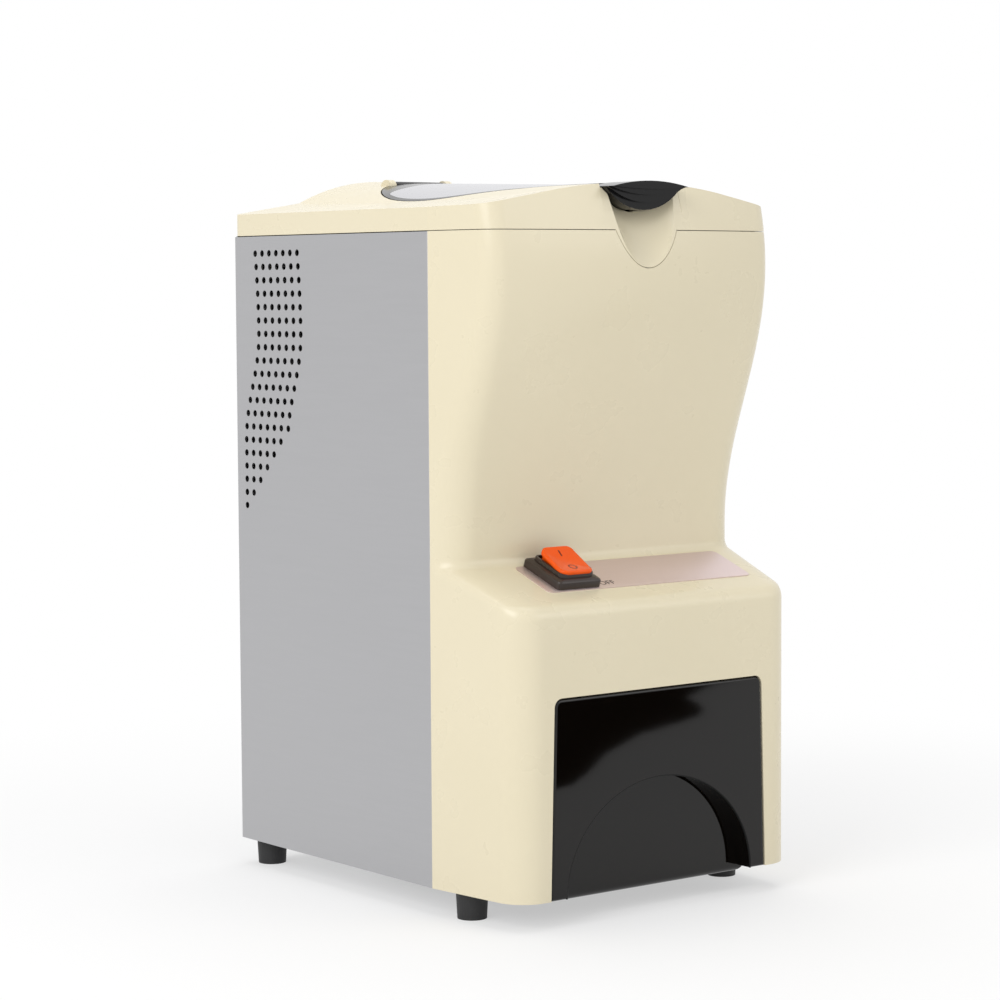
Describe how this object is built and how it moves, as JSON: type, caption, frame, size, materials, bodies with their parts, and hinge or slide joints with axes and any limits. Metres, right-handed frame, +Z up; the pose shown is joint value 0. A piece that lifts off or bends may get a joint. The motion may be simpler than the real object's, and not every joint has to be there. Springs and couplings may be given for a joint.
{
  "type": "electric ice crusher",
  "caption": "Countertop electric ice crusher: steel sides, moulded front and top, hinged feed lid over a hopper, rocker switch and a pull-out ice drawer.",
  "frame": {"origin": "on the table under the middle of the cabinet", "axes": "+Z up, +X to the right of someone facing the machine, -Y towards them"},
  "size_m": [0.236, 0.2955, 0.4546],
  "materials": {
    "cream_moulding": "satin-gloss cream moulding",
    "steel_sheet": "satin stainless sheet",
    "galvanised_sheet": "plain galvanised sheet",
    "bright_fixings": "bright zinc",
    "black_moulding": "fine-textured black",
    "lid_plate": "satin silver",
    "magnet": "ferrite",
    "smoked_plastic": "glossy smoked brown-black",
    "label_foil": "satin pinkish silver foil",
    "brown_plastic": "dark brown",
    "black_plastic": "black",
    "orange_plastic": "glossy orange",
    "brass_tabs": "plain",
    "foot_rubber": "matt black",
    "white_plastic": "natural white",
    "cast_alloy": "as cast",
    "stainless": "ground",
    "bearing_steel": "ground",
    "stator_iron": "laminated",
    "copper_coils": "varnished copper",
    "fan_plastic": "dark grey",
    "capacitor_case": "plain can"
  },
  "bodies": {
    "cabinet": {"front_panel": "cream_moulding", "top_cover": "cream_moulding", "left_side_panel": "steel_sheet", "right_side_panel": "steel_sheet", "rear_panel": "galvanised_sheet", "base_frame": "galvanised_sheet", "left_runner": "galvanised_sheet", "right_runner": "galvanised_sheet", "motor_cradle": "galvanised_sheet", "panel_screws": "bright_fixings", "cover_screws": "bright_fixings", "cradle_bolts": "bright_fixings", "foot_screws": "bright_fixings", "hinge_pin": "bright_fixings", "label_plate": "label_foil", "switch_bezel": "brown_plastic", "switch_body": "black_plastic", "switch_terminals": "brass_tabs", "reed_switch": "black_plastic", "cord_gland": "black_plastic", "gland_nut": "black_plastic", "foot_front_left": "foot_rubber", "foot_front_right": "foot_rubber", "foot_rear_left": "foot_rubber", "foot_rear_right": "foot_rubber", "hopper": "white_plastic", "outlet_chute": "white_plastic", "crusher_housing": "cast_alloy", "crusher_cover": "cast_alloy", "motor_front_bell": "cast_alloy", "motor_rear_bell": "cast_alloy", "fixed_comb": "stainless", "front_bearing": "bearing_steel", "rear_bearing": "bearing_steel", "motor_stator": "stator_iron", "field_coils": "copper_coils", "run_capacitor": "capacitor_case"},
    "lid": {"lid_shell": "black_moulding", "lid_insert": "lid_plate", "lid_magnet": "magnet"},
    "drawer": {"drawer_fascia": "smoked_plastic", "drawer_bin": "smoked_plastic"},
    "rocker": {"switch_rocker": "orange_plastic"},
    "rotor": {"motor_shaft": "stainless", "crusher_hub": "stainless", "crusher_blades": "stainless", "hub_nut": "bright_fixings", "rotor_core": "stator_iron", "cooling_fan": "fan_plastic"}
  },
  "joints": [
    {"name": "lid_hinge", "type": "hinge", "parent": "cabinet", "child": "lid", "pos_m": [0, 0.1025, 0.448], "axis": [-1, 0, 0], "range_deg": [0, 100]},
    {"name": "drawer_slide", "type": "slide", "parent": "cabinet", "child": "drawer", "axis": [0, -1, 0], "range_m": [0, 0.16]},
    {"name": "rocker_tilt", "type": "hinge", "parent": "cabinet", "child": "rocker", "pos_m": [-0.0475, -0.11013, 0.2056], "axis": [-1, 0, 0], "range_deg": [0, 20]},
    {"name": "rotor_spin", "type": "hinge", "parent": "cabinet", "child": "rotor", "pos_m": [0, 0.05, 0.3], "axis": [0, 1, 0], "continuous": true}
  ]
}
